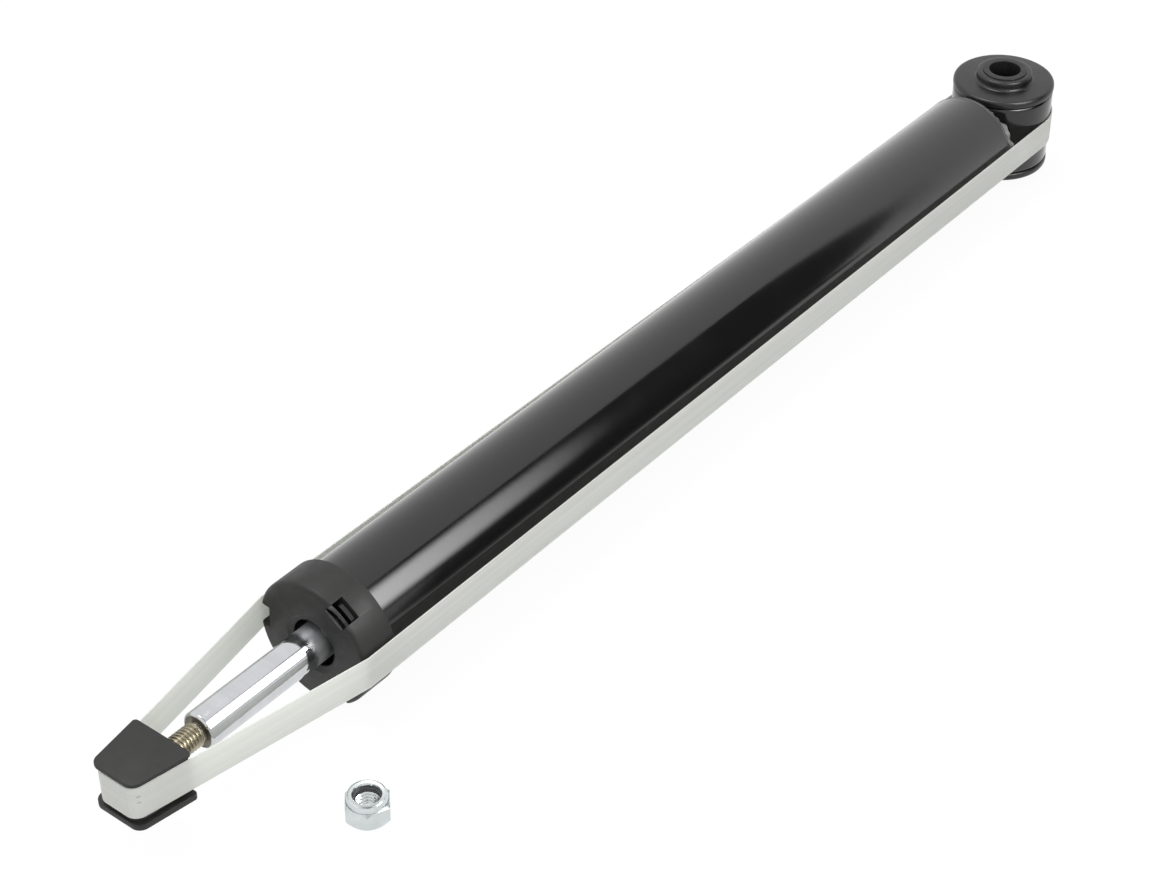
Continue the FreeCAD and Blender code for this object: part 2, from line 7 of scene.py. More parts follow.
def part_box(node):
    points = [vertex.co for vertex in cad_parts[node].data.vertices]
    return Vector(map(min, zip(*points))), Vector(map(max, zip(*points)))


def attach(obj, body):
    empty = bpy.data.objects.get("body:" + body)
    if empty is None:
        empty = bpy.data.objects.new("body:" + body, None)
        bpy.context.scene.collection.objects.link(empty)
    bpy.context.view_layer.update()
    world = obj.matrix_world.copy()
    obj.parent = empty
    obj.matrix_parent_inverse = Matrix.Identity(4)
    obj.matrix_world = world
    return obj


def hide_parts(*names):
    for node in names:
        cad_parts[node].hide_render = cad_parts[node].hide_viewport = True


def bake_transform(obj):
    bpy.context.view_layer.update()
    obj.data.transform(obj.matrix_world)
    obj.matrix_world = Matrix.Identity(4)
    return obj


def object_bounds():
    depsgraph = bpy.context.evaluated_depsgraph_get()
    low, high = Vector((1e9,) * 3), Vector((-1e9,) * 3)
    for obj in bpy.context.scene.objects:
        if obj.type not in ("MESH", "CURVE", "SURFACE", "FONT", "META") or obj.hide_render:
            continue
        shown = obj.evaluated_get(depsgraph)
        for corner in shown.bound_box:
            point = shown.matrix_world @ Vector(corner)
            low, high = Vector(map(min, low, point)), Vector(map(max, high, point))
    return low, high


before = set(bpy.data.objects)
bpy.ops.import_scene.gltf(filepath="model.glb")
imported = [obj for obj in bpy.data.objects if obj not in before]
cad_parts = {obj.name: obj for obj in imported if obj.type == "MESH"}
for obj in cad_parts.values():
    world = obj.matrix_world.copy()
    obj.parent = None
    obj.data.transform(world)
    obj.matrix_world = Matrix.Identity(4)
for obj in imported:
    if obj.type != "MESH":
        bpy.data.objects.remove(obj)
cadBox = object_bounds()
mm = 0.001
hair = 0.05 * mm  # smallest gap between two faces, and the pinhole on a turned piece's axis
print("frame loaded:", len(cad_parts), "nodes")


# mesh helpers, all in metres in the shared frame

sideShare = 0.49  # a rounded corner takes less than half of each side
smoothAngle = 32  # degrees; a sharper bend keeps its edge


def smoothByAngle(mesh, degrees=smoothAngle):
    bm = bmesh.new()
    bm.from_mesh(mesh)
    bmesh.ops.recalc_face_normals(bm, faces=bm.faces)
    for face in bm.faces:
        face.smooth = True
    for edge in bm.edges:
        edge.smooth = len(edge.link_faces) == 2 and edge.calc_face_angle() < math.radians(degrees)
    bm.to_mesh(mesh)
    bm.free()


def linkObject(name, data):
    thing = bpy.data.objects.new(name, data)
    bpy.context.scene.collection.objects.link(thing)
    return thing


def addPiece(name, verts, faces, material):
    mesh = bpy.data.meshes.new(name)
    mesh.from_pydata(verts, [], faces)
    smoothByAngle(mesh)
    mesh.materials.append(material)
    return linkObject(name, mesh)


def settle(piece, body, slot, *nodes):
    if body:
        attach(piece, body)
    if nodes:
        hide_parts(*nodes)


def gridFaces(rings, count, closed=True, flipped=False):
    # quads between rings of points; closed joins the last ring to the first
    faces = []
    for i in range(rings if closed else rings - 1):
        n = (i + 1) % rings
        for k in range(count):
            j = (k + 1) % count
            a, b, c, d = i * count + k, i * count + j, n * count + j, n * count + k
            faces.append((a, d, c, b) if flipped else (a, b, c, d))
    return faces


def roundCorners(points, steps=4):
    # each point is (along, out, radius); a radius of 0 keeps the corner sharp
    rounded = []
    count = len(points)
    for i, (a, r, fillet) in enumerate(points):
        here = Vector((a, r))
        toBefore = Vector(points[i - 1][:2]) - here
        toAfter = Vector(points[(i + 1) % count][:2]) - here
        if fillet <= 0:
            rounded.append(here)
            continue
        half = toBefore.angle(toAfter) / 2
        reach = min(fillet / math.tan(half), sideShare * toBefore.length, sideShare * toAfter.length)
        start = here + toBefore.normalized() * reach
        end = here + toAfter.normalized() * reach
        for k in range(steps + 1):  # quadratic arc through the corner's two tangent points
            t = k / steps
            rounded.append(start * (1 - t) ** 2 + here * (2 * t * (1 - t)) + end * t ** 2)
    return rounded


def washer(start, end, inner, outer, edge=0):
    # outline of a plain ring between two stations
    return [(start, inner, edge), (start, outer, edge), (end, outer, edge), (end, inner, edge)]


def lathe(name, points, axis, material, segments=96):
    # turns a closed outline of (along, out, fillet) about X or Z
    outline = roundCorners(points)
    verts = []
    for s in range(segments):
        angle = 2 * math.pi * s / segments
        c, d = math.cos(angle), math.sin(angle)
        for p in outline:
            verts.append((p.x, p.y * c, p.y * d) if axis == "X" else (p.y * c, p.y * d, p.x))
    return addPiece(name, verts, gridFaces(segments, len(outline)), material)


def addBevel(piece, width, segments, degrees):
    bevel = piece.modifiers.new("edges", "BEVEL")
    bevel.width = width
    bevel.segments = segments
    bevel.limit_method = "ANGLE"
    bevel.angle_limit = math.radians(degrees)


def applyModifiers(piece, degrees=smoothAngle):
    graph = bpy.context.evaluated_depsgraph_get()
    mesh = bpy.data.meshes.new_from_object(piece.evaluated_get(graph))
    piece.modifiers.clear()
    piece.data = mesh
    smoothByAngle(mesh, degrees)


# node helpers

def feed(tree, value, socket):
    # value is another socket or a plain number
    if isinstance(value, (int, float)):
        socket.default_value = value
    else:
        tree.links.new(value, socket)


def mathNode(tree, operation, first, second):
    node = tree.nodes.new("ShaderNodeMath")
    node.operation = operation
    feed(tree, first, node.inputs[0])
    feed(tree, second, node.inputs[1])
    return node.outputs[0]


def rangeNode(tree, value, fromRange, toRange=(0, 1), interpolation="LINEAR"):
    node = tree.nodes.new("ShaderNodeMapRange")
    node.interpolation_type = interpolation
    for socket, number in zip(("From Min", "From Max", "To Min", "To Max"), (*fromRange, *toRange)):
        node.inputs[socket].default_value = number
    feed(tree, value, node.inputs["Value"])
    return node.outputs["Result"]


def noiseNode(tree, place, scale, stretch, detail):
    mapping = tree.nodes.new("ShaderNodeMapping")
    mapping.inputs["Scale"].default_value = stretch
    feed(tree, place, mapping.inputs["Vector"])
    texture = tree.nodes.new("ShaderNodeTexNoise")
    texture.inputs["Scale"].default_value = scale
    texture.inputs["Detail"].default_value = detail
    feed(tree, mapping.outputs["Vector"], texture.inputs["Vector"])
    return texture.outputs["Fac"]


def mixSurface(tree, share, first, second):
    mix = tree.nodes.new("ShaderNodeMixShader")
    feed(tree, share, mix.inputs["Fac"])
    feed(tree, first, mix.inputs[1])
    feed(tree, second, mix.inputs[2])
    feed(tree, mix.outputs[0], tree.nodes["Material Output"].inputs["Surface"])


# finishes

noiseDetail = dict(tint=4, rough=3, grain=5)
noiseRange = (0.3, 0.7)  # holds most of a noise texture's values
edgeRange = (0.53, 0.62)  # pointiness from a soft bend to a sharp edge


def wornColour(tree, colour, s):
    # paler, drier edges where the surface turns sharply
    bend = tree.nodes.new("ShaderNodeNewGeometry").outputs["Pointiness"]
    worn = tree.nodes.new("ShaderNodeMix")
    worn.data_type = "RGBA"
    feed(tree, rangeNode(tree, bend, edgeRange, (0, s["wearAmount"])), worn.inputs["Factor"])
    feed(tree, colour, worn.inputs["A"])
    worn.inputs["B"].default_value = (*s["wear"], 1)
    return worn.outputs["Result"]


def filmedRoughness(tree, place, rough, film):
    # oil film that dulls the metal up to a station along X
    start, end, dull = film
    split = tree.nodes.new("ShaderNodeSeparateXYZ")
    feed(tree, place, split.inputs[0])
    fade = rangeNode(tree, split.outputs["X"], (start, end), (dull, 0), "SMOOTHSTEP")
    return mathNode(tree, "ADD", rough, fade)


def makeFinish(name, s):
    material = bpy.data.materials.new(name)
    material.use_nodes = True
    tree = material.node_tree
    shader = tree.nodes["Principled BSDF"]
    place = tree.nodes.new("ShaderNodeTexCoord").outputs["Object"]

    def noise(kind):
        stretch = s.get(kind + "Stretch", (1, 1, 1))
        return noiseNode(tree, place, s[kind + "Scale"], stretch, noiseDetail[kind])

    tint = tree.nodes.new("ShaderNodeValToRGB")
    for element, position, shade in zip(tint.color_ramp.elements, noiseRange, ("dark", "light")):
        element.position = position
        element.color = (*s[shade], 1)
    feed(tree, noise("tint"), tint.inputs["Fac"])
    colour = tint.outputs["Color"]
    if "wear" in s:
        colour = wornColour(tree, colour, s)
    feed(tree, colour, shader.inputs["Base Color"])

    rough = rangeNode(tree, noise("rough"), noiseRange, s["rough"])
    if "film" in s:
        rough = filmedRoughness(tree, place, rough, s["film"])
    feed(tree, rough, shader.inputs["Roughness"])

    bump = tree.nodes.new("ShaderNodeBump")
    bump.inputs["Strength"].default_value = s["grain"]
    bump.inputs["Distance"].default_value = s["grainDepth"]
    feed(tree, noise("grain"), bump.inputs["Height"])
    feed(tree, bump.outputs["Normal"], shader.inputs["Normal"])

    for socket, value in s.get("sockets", {}).items():
        shader.inputs[socket].default_value = value
    if "translucent" in s:  # thin milky plastic lets light through
        through = tree.nodes.new("ShaderNodeBsdfTranslucent")
        feed(tree, colour, through.inputs["Color"])
        feed(tree, bump.outputs["Normal"], through.inputs["Normal"])
        mixSurface(tree, s["translucent"], shader.outputs[0], through.outputs[0])
    return material


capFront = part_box("bump_cap")[1].x
metal = {"Metallic": 1.0}

paint = makeFinish("glossBlackPaint", dict(
    dark=(0.003, 0.003, 0.0033), light=(0.005, 0.005, 0.0053), tintScale=14,
    rough=(0.1, 0.17), roughScale=40, grain=0.06, grainScale=420, grainDepth=0.2 * mm,
    wear=(0.03, 0.03, 0.03), wearAmount=0.5, sockets={"Coat Weight": 0.3, "Coat Roughness": 0.1}))
# pale grey for the band on the tube's end rounding: painted highlight along the end's edge
paintedRimHighlight = makeFinish("paintedRimHighlight", dict(
    dark=(0.02, 0.02, 0.0195), light=(0.09, 0.09, 0.088), tintScale=120,
    rough=(0.3, 0.5), roughScale=260, grain=0.1, grainScale=900, grainDepth=0.1 * mm))
# pale grey for the black-painted weld bead: painted highlight standing in for the bead's glints
weldPaintedHighlight = makeFinish("weldPaintedHighlight", dict(
    dark=(0.06, 0.06, 0.058), light=(0.3, 0.3, 0.293), tintScale=260,
    rough=(0.16, 0.34), roughScale=300, grain=0.12, grainScale=900, grainDepth=0.1 * mm))
rubber = makeFinish("mouldedRubber", dict(
    dark=(0.006, 0.006, 0.0058), light=(0.01, 0.01, 0.0095), tintScale=60,
    rough=(0.26, 0.38), roughScale=160, grain=0.15, grainScale=1400, grainDepth=0.2 * mm,
    wear=(0.04, 0.04, 0.039), wearAmount=0.5))
plastic = makeFinish("mattePlastic", dict(
    dark=(0.0068, 0.0068, 0.0062), light=(0.0098, 0.0098, 0.009), tintScale=45,
    rough=(0.44, 0.56), roughScale=220, grain=0.22, grainScale=2600, grainDepth=0.15 * mm,
    wear=(0.05, 0.05, 0.048), wearAmount=0.5, sockets={"Specular IOR Level": 0.4}))
sleeveSteel = makeFinish("darkSleeveSteel", dict(
    dark=(0.008, 0.008, 0.0078), light=(0.014, 0.014, 0.0135), tintScale=90,
    rough=(0.34, 0.48), roughScale=300, grain=0.15, grainScale=1500, grainDepth=0.1 * mm,
    sockets={"Metallic": 0.2}))
chrome = makeFinish("groundChrome", dict(
    dark=(0.57, 0.58, 0.6), light=(0.65, 0.66, 0.68), tintScale=30, tintStretch=(6, 1, 1),
    rough=(0.05, 0.1), roughScale=50, roughStretch=(30, 1, 1),
    grain=0.03, grainScale=60, grainStretch=(60, 1, 1), grainDepth=0.1 * mm,
    film=(capFront + 2.5 * mm, capFront + 6 * mm, 0.42), sockets=metal))
turnedEnd = makeFinish("turnedEnd", dict(
    dark=(0.13, 0.115, 0.095), light=(0.22, 0.2, 0.17), tintScale=400,
    rough=(0.35, 0.5), roughScale=300, grain=0.15, grainScale=1500, grainDepth=0.1 * mm, sockets=metal))
threadSteel = makeFinish("yellowedThread", dict(
    dark=(0.3, 0.27, 0.2), light=(0.5, 0.46, 0.36), tintScale=260,
    rough=(0.26, 0.4), roughScale=400, grain=0.1, grainScale=1500, grainDepth=0.1 * mm, sockets=metal))
zinc = makeFinish("brightZinc", dict(
    dark=(0.58, 0.615, 0.62), light=(0.69, 0.725, 0.73), tintScale=180,
    rough=(0.18, 0.28), roughScale=300, grain=0.05, grainScale=900, grainDepth=0.1 * mm, sockets=metal))
strapPlastic = makeFinish("strapBand", dict(
    dark=(0.72, 0.73, 0.7), light=(0.79, 0.8, 0.77), tintScale=20, tintStretch=(0.3, 0.3, 30),
    rough=(0.3, 0.44), roughScale=80, roughStretch=(0.3, 0.3, 20),
    grain=0.1, grainScale=40, grainStretch=(0.5, 0.5, 40), grainDepth=0.2 * mm, translucent=0.5))
# darker grey for the strap's two grooves: painted shade
strapSeal = makeFinish("strapSeal", dict(
    dark=(0.3, 0.32, 0.31), light=(0.4, 0.42, 0.41), tintScale=300,
    rough=(0.3, 0.4), roughScale=300, grain=0.1, grainScale=900, grainDepth=0.1 * mm))
steel = makeFinish("machinedSteel", dict(
    dark=(0.36, 0.36, 0.37), light=(0.5, 0.5, 0.51), tintScale=120,
    rough=(0.25, 0.4), roughScale=200, grain=0.1, grainScale=900, grainDepth=0.1 * mm, sockets=metal))
iron = makeFinish("sinteredIron", dict(
    dark=(0.14, 0.14, 0.14), light=(0.22, 0.22, 0.22), tintScale=300,
    rough=(0.5, 0.65), roughScale=300, grain=0.3, grainScale=1500, grainDepth=0.2 * mm,
    sockets={"Metallic": 0.9}))
ptfe = makeFinish("bearingPlastic", dict(
    dark=(0.14, 0.11, 0.08), light=(0.2, 0.16, 0.12), tintScale=300,
    rough=(0.4, 0.5), roughScale=200, grain=0.1, grainScale=900, grainDepth=0.1 * mm))
aluminium = makeFinish("machinedAluminium", dict(
    dark=(0.62, 0.62, 0.64), light=(0.74, 0.74, 0.76), tintScale=100,
    rough=(0.25, 0.38), roughScale=200, grain=0.08, grainScale=700, grainDepth=0.1 * mm, sockets=metal))
bronze = makeFinish("bearingBronze", dict(
    dark=(0.42, 0.29, 0.13), light=(0.54, 0.4, 0.2), tintScale=150,
    rough=(0.25, 0.38), roughScale=200, grain=0.1, grainScale=900, grainDepth=0.1 * mm, sockets=metal))
nylon = makeFinish("lockingNylon", dict(
    dark=(0.03, 0.03, 0.032), light=(0.05, 0.05, 0.053), tintScale=200,
    rough=(0.4, 0.5), roughScale=300, grain=0.1, grainScale=900, grainDepth=0.1 * mm))
print("finishes made")

cadFinishes = {
    "base_cap": paint, "body_tube": paint, "eye_ring": paint, "eye_weld": paint,
    "bush_rubber": rubber, "bush_sleeve": sleeveSteel, "bump_cap": plastic, "transit_shoe": plastic,
    "transit_strap": strapPlastic, "piston_rod": chrome, "lock_nut": zinc, "nut_insert": nylon,
    "rebound_stop": steel, "rebound_bumper": rubber, "compression_washer": steel, "compression_shims": steel,
    "piston": iron, "piston_band": ptfe, "rebound_shims": steel, "rebound_washer": steel, "piston_nut": steel,
    "rod_guide": aluminium, "guide_oring": rubber, "guide_bush": bronze, "rod_seal": rubber,
    "seal_spring": steel, "retaining_ring": steel,
    "gas_piston": aluminium, "gas_piston_oring": rubber, "gas_piston_band": ptfe,
}
for node, finish in cadFinishes.items():
    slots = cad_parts[node].data.materials
    if len(slots) == 0:
        slots.append(finish)
    for index in range(len(slots)):
        slots[index] = finish


# body tube with its closed, rounded end at the eye

tubeSet = dict(
    wall=1.5 * mm, endRound=3.0 * mm, mouthEdge=1.2 * mm, roll=2.2 * mm, rollEdge=0.3 * mm, base=9.0 * mm,
    boss=12.0 * mm, neckRoot=0.8, segments=128,
    rimProud=0.04 * mm, rimSteps=(0.5, 0.6, 0.7, 0.8, 0.9, 1.0), rimDeep=(0.8 * mm, 1.2 * mm),
)


def makeTube():
    s = tubeSet
    lo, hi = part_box("body_tube")
    outer, inner = hi.z, hi.z - s["wall"]
    base, lip, rolled = lo.x + s["base"], hi.x - s["wall"], inner - s["roll"]
    outline = [
        (lo.x, hair, 0), (lo.x, outer, s["endRound"]),
        (lip, outer, s["mouthEdge"]), (hi.x, inner, s["mouthEdge"]),
        (hi.x, rolled, s["rollEdge"]), (lip, rolled, s["rollEdge"]), (hi.x - s["roll"], inner, 0),
        (base, inner, 0), (base, hair, 0),
    ]
    tube = lathe("tubeShell", outline, "X", paint, s["segments"])
    settle(tube, "tube", "gloss_black_paint", "body_tube", "base_cap")
    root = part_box("eye_ring")[1].x * s["neckRoot"]
    neck = lathe("eyeNeck", washer(root, lo.x + s["wall"], hair, s["boss"]), "X", paint)
    settle(neck, "tube", "gloss_black_paint")
    # pale band laid on the rounding where the end turns into the wall: a painted highlight along the end's
    # edge
    reach, proud = s["endRound"], outer + s["rimProud"]
    shallow, deep = s["rimDeep"]
    band = [(lo.x + reach * t * t, proud - reach * (1 - t) ** 2, 0) for t in s["rimSteps"]]
    band += [(band[-1][0], outer - shallow, 0), (band[0][0], outer - deep, 0)]
    rim = lathe("endRim", band, "X", paintedRimHighlight, s["segments"])
    settle(rim, "tube", "gloss_black_paint")


# eye: painted ring, rubber bush with flange and stepped collar, inner sleeve

eyeSet = dict(
    ringWall=3.0 * mm, ringEdge=1.3 * mm, flangeThick=3.15 * mm, flangeEdge=1.9 * mm, flangeLow=0.9 * mm,
    collarRadius=10.7 * mm, collarEdge=1.3 * mm, collarFoot=1.3 * mm,
    sleeveBore=6.1 * mm, sleeveEdge=0.12 * mm,
)


def makeEye():
    s = eyeSet
    ringHi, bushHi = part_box("eye_ring")[1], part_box("bush_rubber")[1]
    sleeveLo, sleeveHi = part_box("bush_sleeve")
    ringIn = ringHi.x - s["ringWall"]
    ring = lathe("eyeRing", washer(-ringHi.z, ringHi.z, ringIn, ringHi.x, s["ringEdge"]), "Z", paint)
    settle(ring, "tube", "gloss_black_paint", "eye_ring")

    low, top = ringHi.z + hair, ringHi.z + s["flangeThick"]
    upper = [
        (low, ringIn - hair, 0), (low, bushHi.x, s["flangeLow"]), (top, bushHi.x, s["flangeEdge"]),
        (top, s["collarRadius"], s["collarFoot"]), (bushHi.z, s["collarRadius"], s["collarEdge"]),
        (bushHi.z, sleeveHi.x + hair, 0),
    ]
    lower = [(-a, r, f) for a, r, f in reversed(upper)]
    bush = lathe("bushRubber", upper + lower, "Z", rubber)
    settle(bush, "tube", "black_rubber", "bush_rubber")

    wall = washer(sleeveLo.z, sleeveHi.z, s["sleeveBore"], sleeveHi.x, s["sleeveEdge"])
    sleeve = lathe("bushSleeve", wall, "Z", sleeveSteel)
    settle(sleeve, "eye_sleeve", "dark_sleeve_steel", "bush_sleeve")


# weld between the eye's neck and the tube; each ripple is (count round, weight, phase)

weldSet = dict(
    ripple=0.42 * mm, ripples=((13, 1.0, 0), (29, 0.6, 1), (7, 0.5, 2)), around=190, steps=8,
    top=(3.3 * mm, 7.6 * mm), side=0.2, sidePower=4, leg=3.3 * mm, bulge=1.2 * mm, sunk=0.5 * mm,
)


def makeWeld():
    # lumpy fillet from the neck up the tube's closed end, heaviest at the two sides
    s = weldSet
    start, boss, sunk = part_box("body_tube")[0].x, tubeSet["boss"], s["sunk"]
    small, large = s["top"]
    verts = []
    for i in range(s["around"]):
        t = 2 * math.pi * i / s["around"]
        lump = s["ripple"] * sum(weight * math.sin(n * t + phase) for n, weight, phase in s["ripples"])
        top = boss + small + (large - small) * math.cos(t - s["side"]) ** s["sidePower"] + lump
        leg = s["leg"] + lump
        foot, crest = (start - leg, boss - sunk), (start - leg, top + s["bulge"])
        end = (start + sunk, top - sunk)
        outline = []
        for k in range(s["steps"] + 1):  # quadratic arc from foot to end
            u = k / s["steps"]
            weights = (1 - u) ** 2, 2 * u * (1 - u), u ** 2
            outline.append([sum(w * p[axis] for w, p in zip(weights, (foot, crest, end))) for axis in (0, 1)])
        outline.append((start + sunk, boss - sunk))
        verts += [(x, r * math.cos(t), r * math.sin(t)) for x, r in outline]
    # the bead takes the pale painted-highlight grey instead of the black paint
    weld = addPiece("eyeWeld", verts, gridFaces(s["around"], s["steps"] + 2), weldPaintedHighlight)
    settle(weld, "tube", "gloss_black_paint", "eye_weld")


# bump cap over the tube's open end

capSet = dict(
    bore=19.2 * mm, plate=2.2 * mm, hole=8.25 * mm, recess=10.25 * mm, recessDeep=0.9 * mm,
    thinFrom=16.0 * mm, thinPlate=0.9 * mm, edge=1.5 * mm, skirtEdge=0.5 * mm, recessEdge=0.3 * mm,
    holeEdge=0.2 * mm, segments=120, soft=0.35 * mm, softSteps=2, softAngle=50,
    windows=3, windowWidth=8.0 * mm, windowLong=5.5 * mm, windowDeep=4.0 * mm, windowTurn=34.0,
    windowPast=2.0 * mm, windowReach=1.4,
)


def makeCap():
    s = capSet
    lo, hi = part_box("bump_cap")
    out, front = hi.z, hi.x
    inside, deep, thin = (front - s[k] for k in ("plate", "recessDeep", "thinPlate"))
    outline = [
        (lo.x, s["bore"], 0), (lo.x, out, s["skirtEdge"]), (front, out, s["edge"]),
        (front, s["recess"], s["recessEdge"]), (deep, s["hole"], s["holeEdge"]), (inside, s["hole"], 0),
        (inside, s["thinFrom"], 0), (thin, s["thinFrom"], 0), (thin, s["bore"], 0),
    ]
    cap = lathe("bumpCap", outline, "X", plastic, s["segments"])
    for k in range(s["windows"]):
        cutter = windowCutter(k, out, front)
        cut = cap.modifiers.new("window", "BOOLEAN")
        cut.operation = "DIFFERENCE"
        cut.solver = "EXACT"
        cut.object = cutter
        applyModifiers(cap)
        bpy.data.objects.remove(cutter)
    addBevel(cap, s["soft"], s["softSteps"], s["softAngle"])
    applyModifiers(cap)
    settle(cap, "tube", "matte_black_plastic", "bump_cap")


def windowCutter(k, out, front):
    s = capSet
    half = s["windowWidth"] / 2
    low, high = out - s["windowDeep"], out * s["windowReach"]
    back, beyond = front - s["windowLong"], front + s["windowPast"]
    corners = [(x, y, z) for x in (back, beyond) for y in (-half, half) for z in (low, high)]
    faces = [(0, 1, 3, 2), (4, 6, 7, 5), (0, 4, 5, 1), (2, 3, 7, 6), (0, 2, 6, 4), (1, 5, 7, 3)]
    turn = Matrix.Rotation(math.radians(-s["windowTurn"] - 360 / s["windows"] * k), 4, "X")
    return addPiece("windowCutter", [turn @ Vector(c) for c in corners], faces, plastic)


# piston rod with its shoulder, and the rolled thread of the stud

rodSet = dict(
    shoulderPart=27.0 * mm, seatPart=30.0 * mm, chamfer=0.6 * mm, chamferEdge=0.4 * mm, shoulderEdge=0.3 * mm,
    spigot=4.9 * mm, spigotEdge=0.8 * mm, seatEdge=0.3 * mm, neck=3.3 * mm, neckEdge=0.2 * mm,
    neckLong=0.8 * mm, faceInset=0.2 * mm, faceSkin=0.04 * mm,
    threadOut=4.0 * mm, threadIn=3.36 * mm, threadGap=0.1 * mm, pitch=1.25 * mm, perTurn=40, perPitch=8,
)
threadForm = dict(root=0.2, flank=0.65)  # shares of half a pitch


def makeRod():
    s = rodSet
    lo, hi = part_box("piston_rod")
    shoulder, seat = hi.x - s["shoulderPart"], lo.x + s["seatPart"]
    neckEnd = shoulder + s["neckLong"]
    outline = [
        (lo.x, hair, 0), (lo.x, s["spigot"], s["spigotEdge"]),
        (seat, s["spigot"], 0), (seat, hi.z, s["seatEdge"]),
        (shoulder - s["chamfer"], hi.z, s["chamferEdge"]), (shoulder, hi.z - s["chamfer"], s["shoulderEdge"]),
        (shoulder, s["neck"], s["neckEdge"]), (neckEnd, s["neck"], 0), (neckEnd, hair, 0),
    ]
    rod = lathe("rodShaft", outline, "X", chrome)
    settle(rod, "rod", "hard_chrome", "piston_rod")
    rim = hi.z - s["chamfer"] - s["faceInset"]
    skin = washer(shoulder - s["faceInset"], shoulder + s["faceSkin"], s["neck"], rim)
    settle(lathe("rodEndFace", skin, "X", turnedEnd), "rod", "hard_chrome")
    settle(makeThread(shoulder + s["threadGap"], hi.x), "rod", "zinc_plate")


def ridge(phase):
    # one turn of a rolled thread: flat root, sloped flanks, narrow crest
    phase = phase % 1.0
    rise = min(phase, 1 - phase) * 2
    return min(max((rise - threadForm["root"]) / threadForm["flank"], 0), 1)


def makeThread(start, end):
    s = rodSet
    pitch, around = s["pitch"], s["perTurn"]
    steps = int((end - start) / pitch * s["perPitch"])
    depth = s["threadOut"] - s["threadIn"]
    verts = []
    for i in range(steps + 1):
        x = start + (end - start) * i / steps
        fade = min(1, (x - start) / pitch, (end - x) / pitch)  # run-in and run-out
        for k in range(around):
            t = k / around
            r = s["threadIn"] + depth * ridge(x / pitch - t) * fade
            verts.append((x, r * math.cos(2 * math.pi * t), r * math.sin(2 * math.pi * t)))
    faces = gridFaces(steps + 1, around, closed=False)
    faces.append(tuple(range(around)))
    faces.append(tuple(steps * around + k for k in reversed(range(around))))
    return addPiece("studThread", verts, faces, threadSteel)


# transit shoe: the CAD form with moulded, slightly soft edges

shoeSet = dict(
    join=0.001 * mm, flatAngle=1, plate=2.1 * mm, level=0.01 * mm, drop=0.8 * mm, grow=0.8 * mm,
    soft=0.45 * mm, softSteps=3, softAngle=40,
)


def makeShoe():
    s = shoeSet
    bm = bmesh.new()
    bm.from_mesh(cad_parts["transit_shoe"].data)
    bmesh.ops.remove_doubles(bm, verts=bm.verts, dist=s["join"])
    bmesh.ops.dissolve_limit(bm, angle_limit=math.radians(s["flatAngle"]), verts=bm.verts, edges=bm.edges)

    def spot(v):
        return round(v.co.x, 6), round(v.co.y, 6)  # to the micrometre

    # the lower plate sits a little lower and wider than the lid
    bottom = min(v.co.z for v in bm.verts)
    rim = {spot(v) for v in bm.verts if v.co.z < bottom + s["level"]}
    for v in bm.verts:
        if v.co.z < bottom + s["plate"] + hair:
            v.co.z -= s["drop"]
            if spot(v) in rim:
                v.co.y += math.copysign(s["grow"], v.co.y)
    mesh = bpy.data.meshes.new("transitShoe")
    bm.to_mesh(mesh)
    bm.free()
    mesh.materials.append(plastic)
    shoe = linkObject("transitShoe", mesh)
    addBevel(shoe, s["soft"], s["softSteps"], s["softAngle"])
    applyModifiers(shoe, s["softAngle"])
    settle(shoe, "rod", "matte_black_plastic", "transit_shoe")


# transit strap: a flat band round the eye, over the cap's corners and round the shoe

strapSet = dict(
    wide=12.0 * mm, thick=0.9 * mm, near=0.1 * mm, far=0.55 * mm, edge=0.22 * mm, play=0.15 * mm,
    drop=-0.8 * mm, tilt=math.tan(math.radians(0.13)), capBend=2.0 * mm, capEdge=1.6 * mm,
    shoeCorner=3.5 * mm, shoeRelief=0.8 * mm, shoeBackHalf=11.6 * mm, shoeFrontHalf=8.4 * mm,
    step=4.0 * mm, arcStep=math.radians(8),
)


def strapCircles():
    s = strapSet
    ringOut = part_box("eye_ring")[1].x
    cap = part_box("bump_cap")[1]
    shoeLow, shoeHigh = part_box("transit_shoe")
    inset = s["thick"] + s["play"]
    corner, bend, frontHalf = s["shoeCorner"], s["capBend"], s["shoeFrontHalf"]
    coreLong = shoeHigh.x - shoeLow.x - inset
    slope = (s["shoeBackHalf"] - frontHalf - s["shoeRelief"]) / coreLong
    shoeX = shoeLow.x + coreLong - corner
    shoeY = frontHalf - inset + corner * (slope - math.hypot(1, slope))
    capX, capY = cap.x - s["capEdge"], cap.z - bend
    return [(0, 0, ringOut), (capX, -capY, bend), (shoeX, -shoeY, corner), (shoeX, shoeY, corner),
            (capX, capY, bend)]


def beltPath(circles, grow):
    # points and outward angles round the circles, each turn to the left
    count = len(circles)
    touch = []
    for i in range(count):
        (x, y, r), (nx, ny, nr) = circles[i], circles[(i + 1) % count]
        touch.append(math.atan2(ny - y, nx - x) - math.acos((r - nr) / math.hypot(nx - x, ny - y)))
    path = []
    for i in range(count):
        x, y, r = circles[i]
        start, end = touch[i - 1], touch[i]
        while end < start:
            end += 2 * math.pi
        turns = max(2, math.ceil((end - start) / strapSet["arcStep"]))
        for k in range(turns + 1):
            a = start + (end - start) * k / turns
            path.append((Vector((x, y, 0)) + Vector((math.cos(a), math.sin(a), 0)) * (r + grow), a))
        nx, ny, nr = circles[(i + 1) % count]
        p = path[-1][0]
        q = Vector((nx, ny, 0)) + Vector((math.cos(end), math.sin(end), 0)) * (nr + grow)
        pieces = math.ceil((q - p).length / strapSet["step"])
        path += [(p.lerp(q, k / pieces), end) for k in range(1, pieces)]
    return path


